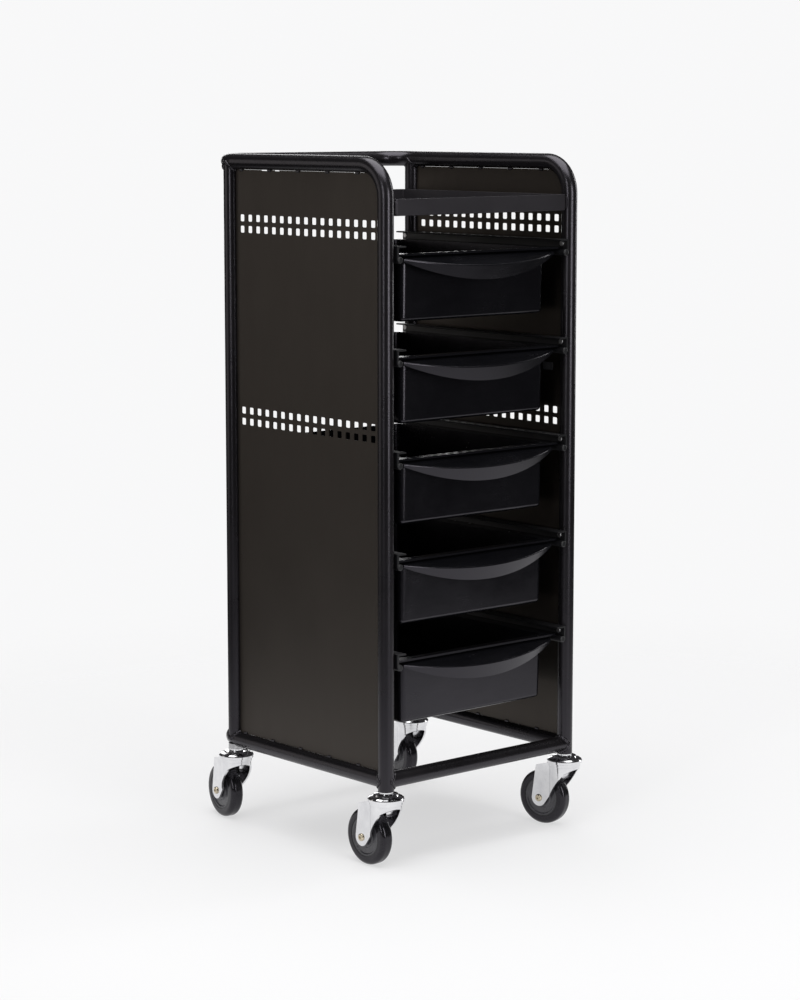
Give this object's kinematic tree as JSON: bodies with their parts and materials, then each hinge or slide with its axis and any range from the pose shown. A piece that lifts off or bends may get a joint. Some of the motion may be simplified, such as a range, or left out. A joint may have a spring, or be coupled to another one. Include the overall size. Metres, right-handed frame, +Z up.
{
  "type": "trolley cart",
  "caption": "Tall rolling salon trolley: bent tube frame, perforated side panels, shallow top tray, sliding moulded drawers with crescent pulls and swivel casters.",
  "frame": {"origin": "on the floor, at the middle of the model's box, which the trailing casters and the bowed pulls both widen", "axes": "+Z up, drawers open towards -Y, +X to the right of a person facing the drawers"},
  "size_m": [0.354, 0.3967, 0.8775],
  "materials": {
    "frame_black": "satin black powder coat on steel tube",
    "panel_black": "satin black powder coat on steel sheet",
    "tray_black": "satin black powder coat on folded steel sheet",
    "runner_black": "extruded black plastic",
    "drawer_black": "injection-moulded black plastic",
    "screw_steel": "zinc-plated steel",
    "label_grey": "blank grey film",
    "caster_chrome": "bright chrome plate",
    "axle_nickel": "nickel-washed brass",
    "tyre_grey": "glossy dark grey thermoplastic rubber",
    "hub_black": "moulded nylon",
    "cover_grey": "moulded grey plastic"
  },
  "bodies": {
    "frame": {"base_loop_tube": "frame_black", "bearing_balls": "screw_steel", "blank_label_plate": "label_grey", "caster_kingpins": "caster_chrome", "caster_races": "caster_chrome", "caster_sockets": "screw_steel", "front_base_bar": "frame_black", "panel_tack_welds": "frame_black", "rear_leg_left": "frame_black", "rear_leg_right": "frame_black", "runner_left_1": "runner_black", "runner_left_2": "runner_black", "runner_left_3": "runner_black", "runner_left_4": "runner_black", "runner_left_5": "runner_black", "runner_right_1": "runner_black", "runner_right_2": "runner_black", "runner_right_3": "runner_black", "runner_right_4": "runner_black", "runner_right_5": "runner_black", "runner_screws": "screw_steel", "side_panel_left": "panel_black", "side_panel_right": "panel_black", "top_loop_tube": "frame_black", "tray_brackets": "tray_black", "tray_pan": "tray_black"},
    "drawer_1": {"drawer_1": "drawer_black"},
    "drawer_2": {"drawer_2": "drawer_black"},
    "drawer_3": {"drawer_3": "drawer_black"},
    "drawer_4": {"drawer_4": "drawer_black"},
    "drawer_5": {"drawer_5": "drawer_black"},
    "swivel_front_left": {"caster_fork_front_left": "caster_chrome", "axle_bolt_front_left": "axle_nickel", "axle_nut_front_left": "axle_nickel", "axle_bush_front_left": "screw_steel"},
    "wheel_front_left": {"tyre_front_left": "tyre_grey", "wheel_hub_front_left": "hub_black", "hub_covers_front_left": "cover_grey"},
    "swivel_front_right": {"caster_fork_front_right": "caster_chrome", "axle_bolt_front_right": "axle_nickel", "axle_nut_front_right": "axle_nickel", "axle_bush_front_right": "screw_steel"},
    "wheel_front_right": {"tyre_front_right": "tyre_grey", "wheel_hub_front_right": "hub_black", "hub_covers_front_right": "cover_grey"},
    "swivel_rear_left": {"caster_fork_rear_left": "caster_chrome", "axle_bolt_rear_left": "axle_nickel", "axle_nut_rear_left": "axle_nickel", "axle_bush_rear_left": "screw_steel"},
    "wheel_rear_left": {"tyre_rear_left": "tyre_grey", "wheel_hub_rear_left": "hub_black", "hub_covers_rear_left": "cover_grey"},
    "swivel_rear_right": {"caster_fork_rear_right": "caster_chrome", "axle_bolt_rear_right": "axle_nickel", "axle_nut_rear_right": "axle_nickel", "axle_bush_rear_right": "screw_steel"},
    "wheel_rear_right": {"tyre_rear_right": "tyre_grey", "wheel_hub_rear_right": "hub_black", "hub_covers_rear_right": "cover_grey"}
  },
  "joints": [
    {"name": "drawer_1_slide", "type": "slide", "parent": "frame", "child": "drawer_1", "axis": [0, -1, 0], "range_m": [0, 0.25]},
    {"name": "drawer_2_slide", "type": "slide", "parent": "frame", "child": "drawer_2", "axis": [0, -1, 0], "range_m": [0, 0.25]},
    {"name": "drawer_3_slide", "type": "slide", "parent": "frame", "child": "drawer_3", "axis": [0, -1, 0], "range_m": [0, 0.25]},
    {"name": "drawer_4_slide", "type": "slide", "parent": "frame", "child": "drawer_4", "axis": [0, -1, 0], "range_m": [0, 0.25]},
    {"name": "drawer_5_slide", "type": "slide", "parent": "frame", "child": "drawer_5", "axis": [0, -1, 0], "range_m": [0, 0.25]},
    {"name": "front_left_swivel", "type": "hinge", "parent": "frame", "child": "swivel_front_left", "pos_m": [-0.154, -0.175, 0.0887], "axis": [0, 0, 1], "continuous": true},
    {"name": "front_left_spin", "type": "hinge", "parent": "swivel_front_left", "child": "wheel_front_left", "pos_m": [-0.154, -0.144, 0.036], "axis": [1, 0, 0], "continuous": true},
    {"name": "front_right_swivel", "type": "hinge", "parent": "frame", "child": "swivel_front_right", "pos_m": [0.154, -0.175, 0.0887], "axis": [0, 0, 1], "continuous": true},
    {"name": "front_right_spin", "type": "hinge", "parent": "swivel_front_right", "child": "wheel_front_right", "pos_m": [0.14808, -0.14457, 0.036], "axis": [0.9816, 0.1908, 0], "continuous": true},
    {"name": "rear_left_swivel", "type": "hinge", "parent": "frame", "child": "swivel_rear_left", "pos_m": [-0.154, 0.129, 0.0887], "axis": [0, 0, 1], "continuous": true},
    {"name": "rear_left_spin", "type": "hinge", "parent": "swivel_rear_left", "child": "wheel_rear_left", "pos_m": [-0.14915, 0.15962, 0.036], "axis": [0.9877, -0.1564, 0], "continuous": true},
    {"name": "rear_right_swivel", "type": "hinge", "parent": "frame", "child": "swivel_rear_right", "pos_m": [0.154, 0.129, 0.0887], "axis": [0, 0, 1], "continuous": true},
    {"name": "rear_right_spin", "type": "hinge", "parent": "swivel_rear_right", "child": "wheel_rear_right", "pos_m": [0.1567, 0.15988, 0.036], "axis": [0.9962, -0.0872, 0], "continuous": true}
  ]
}
